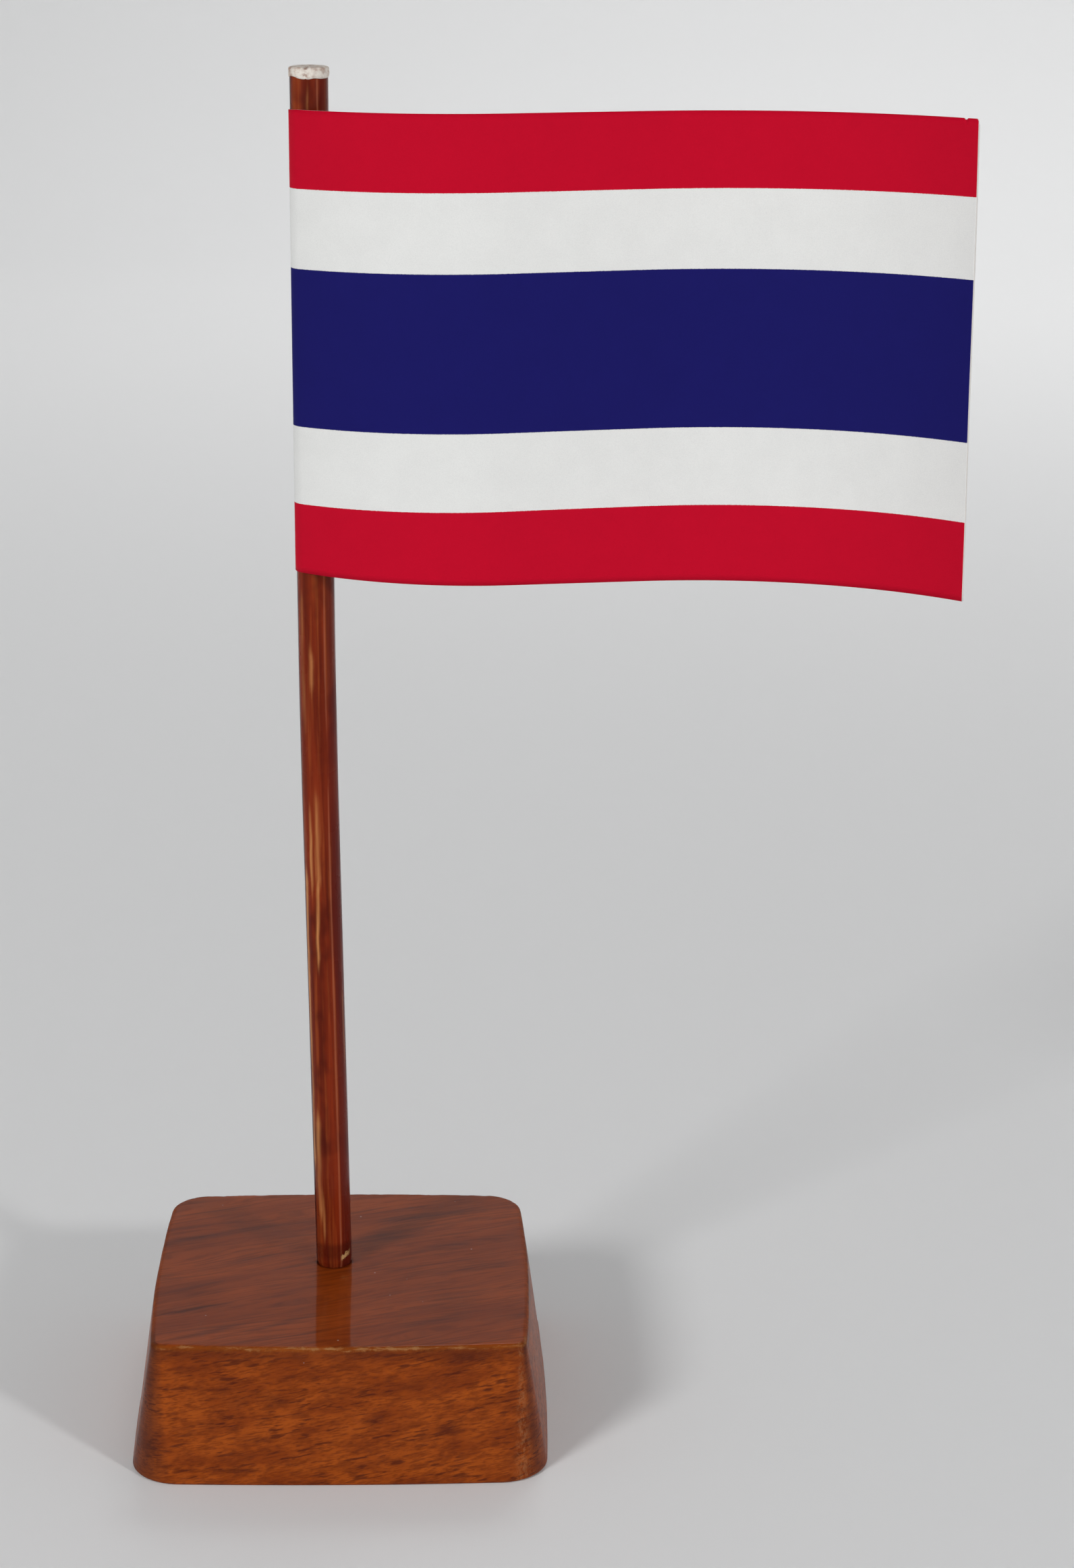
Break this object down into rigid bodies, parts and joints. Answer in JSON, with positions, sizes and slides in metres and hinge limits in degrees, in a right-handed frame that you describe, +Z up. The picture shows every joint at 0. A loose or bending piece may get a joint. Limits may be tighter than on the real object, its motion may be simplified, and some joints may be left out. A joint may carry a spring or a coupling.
{
  "type": "desk flag stand",
  "caption": "Small desk flag: a folded, printed card flag round a stained wooden pole that stands in a tapered, lacquered wooden block.",
  "frame": {"origin": "centre of the block's flat underside, where it stands on the desk", "axes": "+Z up along the pole, +X along the flag from the pole to its free end, +Y to the back of the stand"},
  "size_m": [0.1143, 0.0598, 0.1938],
  "materials": {
    "lacquered_wood": "dark red-brown hardwood under gloss lacquer, worn pale along the upper edges",
    "stained_wood": "red-brown stain and varnish with pale streaks along the grain",
    "white_filler": "chalky off-white filler, dabbed on by hand",
    "printed_card": "matte printed card in five bands: red, white, blue, white, red",
    "dried_glue": "thin dried paper glue"
  },
  "bodies": {
    "base": {"base_block": "lacquered_wood"},
    "pole": {"pole": "stained_wood", "pole_end_seal": "white_filler"},
    "flag": {"flag_sheet": "printed_card", "flag_glue": "dried_glue"}
  },
  "joints": [
    {"name": "pole_lift", "type": "slide", "parent": "base", "child": "pole", "axis": [-0.0204, 0, 0.9998], "range_m": [0, 0.02]},
    {"name": "flag_turn", "type": "hinge", "parent": "pole", "child": "flag", "pos_m": [-0.00342, 0.002, 0.157], "axis": [-0.0051, 0, 1], "continuous": true}
  ]
}
